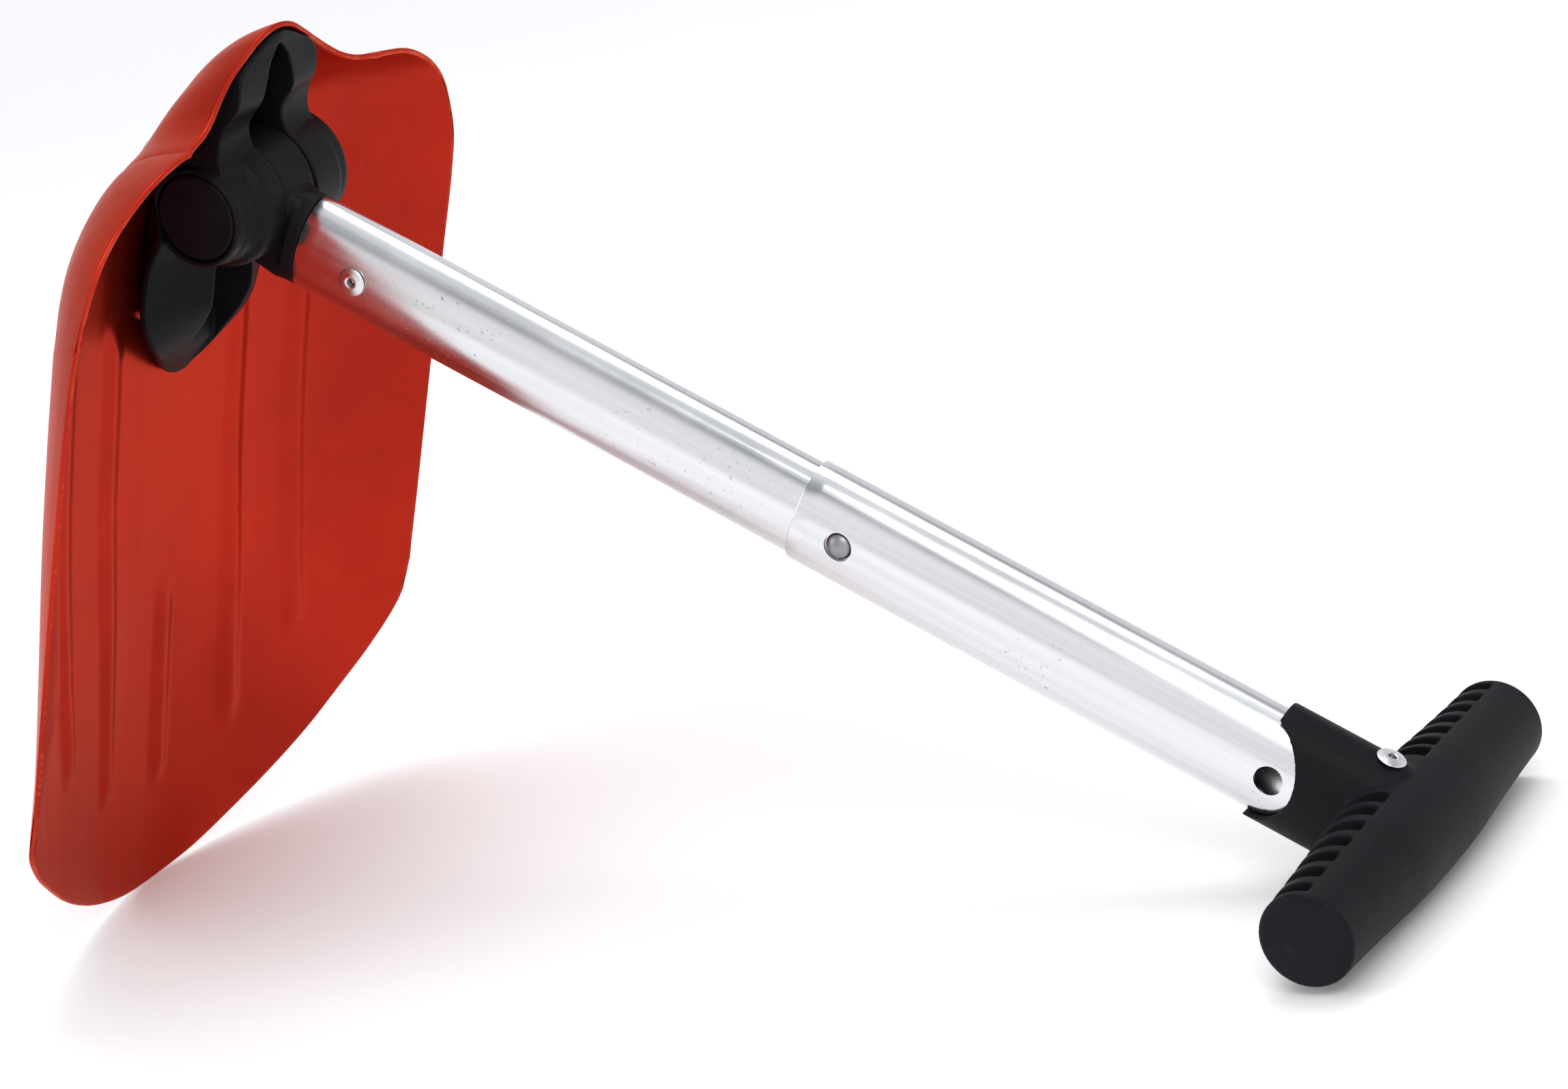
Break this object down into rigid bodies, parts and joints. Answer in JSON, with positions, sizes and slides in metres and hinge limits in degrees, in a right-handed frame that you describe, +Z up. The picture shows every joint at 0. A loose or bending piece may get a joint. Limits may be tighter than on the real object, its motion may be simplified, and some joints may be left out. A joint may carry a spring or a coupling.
{
  "type": "avalanche shovel",
  "caption": "Folding avalanche shovel: concave metal blade on a hinged bracket, oval two-part telescopic shaft with snap button, ribbed T grip; shown in the hoe position.",
  "frame": {"origin": "bottom centre of the bounding box at rest, on the ground under the shovel standing on its blade's lower edge and its grip", "axes": "+X from the blade towards the grip, +Y along the hinge axis towards the end with the cap, +Z up"},
  "size_m": [0.5078, 0.2324, 0.3039],
  "materials": {
    "anodised_red": "satin red anodised aluminium sheet",
    "bright_aluminium": "bright drawn tube, fine lines along its length",
    "bright_aluminium_outer": "bright drawn tube, fine lines along its length",
    "black_nylon": "moulded, slightly glossy",
    "black_grip": "moulded, fine matte texture",
    "steel": "plain rivets, axle and ring",
    "button_steel": "grey domed catch",
    "spring_steel": "spring wire and strip"
  },
  "bodies": {
    "blade": {"blade": "anodised_red", "hinge_bracket": "black_nylon", "bracket_rivet_1": "steel", "bracket_rivet_2": "steel", "bracket_rivet_3": "steel", "bracket_rivet_4": "steel", "hinge_axle": "steel", "axle_nut": "steel", "axle_washer": "steel", "hinge_end_cap": "black_nylon"},
    "release_button": {"release_button": "black_nylon"},
    "shaft": {"hinge_knuckle": "black_nylon", "lower_tube": "bright_aluminium", "lower_tube_rivet_near": "steel", "lower_tube_rivet_far": "steel", "snap_spring": "spring_steel", "button_spring": "spring_steel"},
    "lock_ring": {"lock_ring": "steel"},
    "snap_button": {"snap_button": "button_steel"},
    "upper_shaft": {"upper_tube": "bright_aluminium_outer", "t_grip": "black_grip", "grip_rivet_top": "steel", "grip_rivet_bottom": "steel"}
  },
  "joints": [
    {"name": "fold", "type": "hinge", "parent": "blade", "child": "shaft", "pos_m": [-0.13397, 0, 0.24939], "axis": [0, 1, 0], "range_deg": [-74, 72]},
    {"name": "telescope", "type": "slide", "parent": "shaft", "child": "upper_shaft", "axis": [-0.8526, 0, 0.5225], "range_m": [0, 0.1554]},
    {"name": "release_press", "type": "slide", "parent": "blade", "child": "release_button", "axis": [0, 1, 0], "range_m": [0, 0.0035], "stiffness_N_per_m": 700, "springref_m": -0.003, "deforming": ["button_spring"]},
    {"name": "lock_ring_slide", "type": "slide", "parent": "shaft", "child": "lock_ring", "axis": [0, 1, 0], "range_m": [0, 0.0035]},
    {"name": "snap_press", "type": "slide", "parent": "shaft", "child": "snap_button", "axis": [0, 1, 0], "range_m": [0, 0.0026], "stiffness_N_per_m": 1200, "springref_m": -0.002, "deforming": ["snap_spring"]}
  ],
  "couplings": [
    {"joint": "lock_ring_slide", "follows": "release_press", "ratio": 1}
  ]
}
